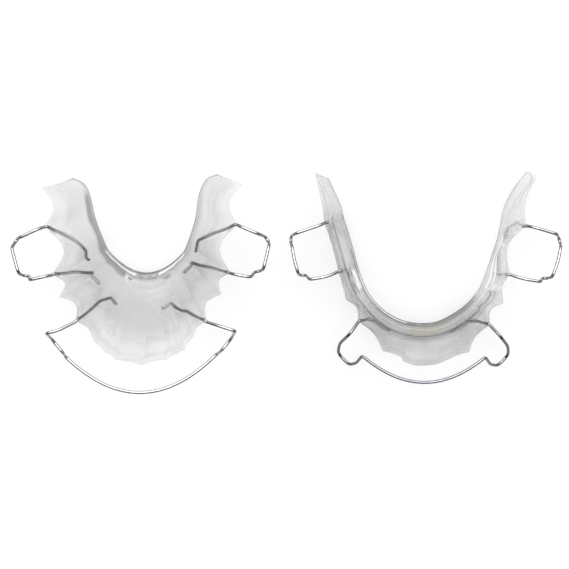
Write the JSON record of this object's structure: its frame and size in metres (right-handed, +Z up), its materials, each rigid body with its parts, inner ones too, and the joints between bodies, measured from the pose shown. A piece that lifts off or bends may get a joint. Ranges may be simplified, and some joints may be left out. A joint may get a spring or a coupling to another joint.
{
  "type": "removable dental retainer set",
  "caption": "Upper and lower removable dental retainers: clear scalloped plates with a spring wire across the front teeth and spring clasps for the molars.",
  "frame": {"origin": "centre of the bounding box of the set, at the level it lies on", "axes": "+Z up, away from the surface, on the biting side of both retainers; +X to the right, from the upper retainer to the lower one; -Y toward the front teeth, +Y toward the rear molars"},
  "size_m": [0.1224, 0.0501, 0.0183],
  "materials": {
    "clear_acrylic": "clear polished moulded acrylic",
    "steel_wire": "bright drawn stainless spring wire"
  },
  "bodies": {
    "upper_retainer": {"upper_base_plate": "clear_acrylic", "upper_left_bow_arm": "steel_wire", "upper_right_bow_arm": "steel_wire", "upper_left_clasp_rear_arm": "steel_wire", "upper_left_clasp_front_arm": "steel_wire", "upper_right_clasp_rear_arm": "steel_wire", "upper_right_clasp_front_arm": "steel_wire"},
    "upper_labial_bow": {"upper_labial_bow": "steel_wire"},
    "upper_left_clasp": {"upper_left_clasp": "steel_wire"},
    "upper_right_clasp": {"upper_right_clasp": "steel_wire"},
    "lower_retainer": {"lower_base_plate": "clear_acrylic", "lower_left_bow_arm": "steel_wire", "lower_right_bow_arm": "steel_wire", "lower_left_clasp_rear_arm": "steel_wire", "lower_left_clasp_front_arm": "steel_wire", "lower_right_clasp_rear_arm": "steel_wire", "lower_right_clasp_front_arm": "steel_wire"},
    "lower_labial_bow": {"lower_labial_bow": "steel_wire"},
    "lower_left_clasp": {"lower_left_clasp": "steel_wire"},
    "lower_right_clasp": {"lower_right_clasp": "steel_wire"}
  },
  "joints": [
    {"name": "upper_labial_bow_flex", "type": "hinge", "parent": "upper_retainer", "child": "upper_labial_bow", "pos_m": [-0.03258, -0.00893, 0.01606], "axis": [-1, -0.0014, -0.0005], "range_deg": [-3, 3], "stiffness_Nm_per_rad": 0.3},
    {"name": "upper_left_clasp_flex", "type": "hinge", "parent": "upper_retainer", "child": "upper_left_clasp", "pos_m": [-0.05299, 0.00662, 0.01663], "axis": [-0.1547, 0.988, -0.0002], "range_deg": [-4, 4], "stiffness_Nm_per_rad": 0.5},
    {"name": "upper_right_clasp_flex", "type": "hinge", "parent": "upper_retainer", "child": "upper_right_clasp", "pos_m": [-0.01206, 0.00704, 0.01663], "axis": [-0.1447, -0.9895, 0.0005], "range_deg": [-4, 4], "stiffness_Nm_per_rad": 0.5},
    {"name": "lower_labial_bow_flex", "type": "hinge", "parent": "lower_retainer", "child": "lower_labial_bow", "pos_m": [0.02994, -0.00958, 0.01068], "axis": [-0.9997, 0.0262, -0.0002], "range_deg": [-3, 3], "stiffness_Nm_per_rad": 0.3},
    {"name": "lower_left_clasp_flex", "type": "hinge", "parent": "lower_retainer", "child": "lower_left_clasp", "pos_m": [0.00914, 0.0076, 0.01075], "axis": [-0.2636, 0.9645, 0.0139], "range_deg": [-4, 4], "stiffness_Nm_per_rad": 0.5},
    {"name": "lower_right_clasp_flex", "type": "hinge", "parent": "lower_retainer", "child": "lower_right_clasp", "pos_m": [0.05106, 0.00694, 0.01073], "axis": [-0.3162, -0.9486, -0.0101], "range_deg": [-4, 4], "stiffness_Nm_per_rad": 0.5},
    {"name": "lower_lift", "type": "slide", "parent": "upper_retainer", "child": "lower_retainer", "axis": [0, 0, 1], "range_m": [0, 0.03]}
  ]
}
